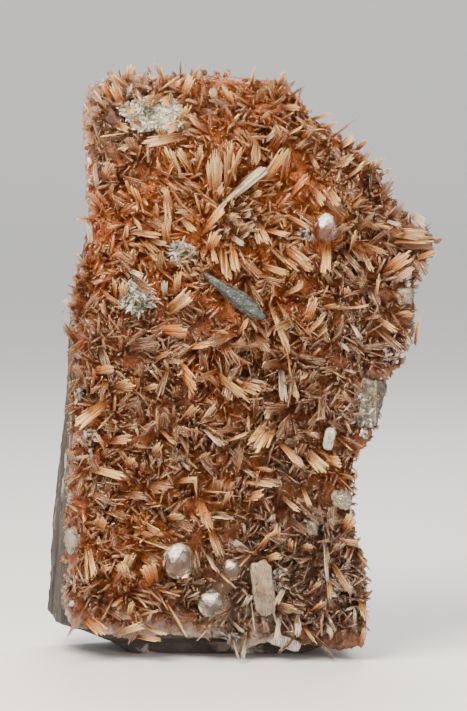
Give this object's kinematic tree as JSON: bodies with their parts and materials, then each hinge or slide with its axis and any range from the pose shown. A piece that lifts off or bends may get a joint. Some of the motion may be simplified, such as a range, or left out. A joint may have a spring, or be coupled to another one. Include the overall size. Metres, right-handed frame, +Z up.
{
  "type": "inesite specimen",
  "caption": "Slab of layered rock standing on its broken edge, its front crusted with bladed orange inesite crystals and a few clear, white and dark crystals of other minerals.",
  "frame": {"origin": "the middle of the flat foot that the slab stands on", "axes": "+Z up the slab, +X to the right as the crystal crust is looked at, and -Y out of the crust towards the viewer"},
  "size_m": [0.0631, 0.0296, 0.0948],
  "materials": {
    "rock": "matte",
    "inesite": "satin",
    "dark_mineral": "satin",
    "apophyllite": "polished",
    "quartz": "gloss",
    "white_mineral": "satin",
    "calcite": "gloss"
  },
  "bodies": {
    "root": {"rock": "rock", "inesite_crust": "inesite", "dark_spindle": "dark_mineral", "apophyllite_top": "apophyllite", "apophyllite_lower_left": "apophyllite", "apophyllite_lower_right": "apophyllite", "apophyllite_small": "apophyllite", "quartz_left": "quartz", "quartz_right_low": "quartz", "quartz_right_high": "quartz", "quartz_right_foot": "quartz", "quartz_plate": "quartz", "druse_top": "white_mineral", "druse_left": "white_mineral", "druse_middle": "white_mineral", "calcite_blade": "calcite", "white_tablet": "white_mineral", "white_prism": "white_mineral"}
  },
  "joints": []
}
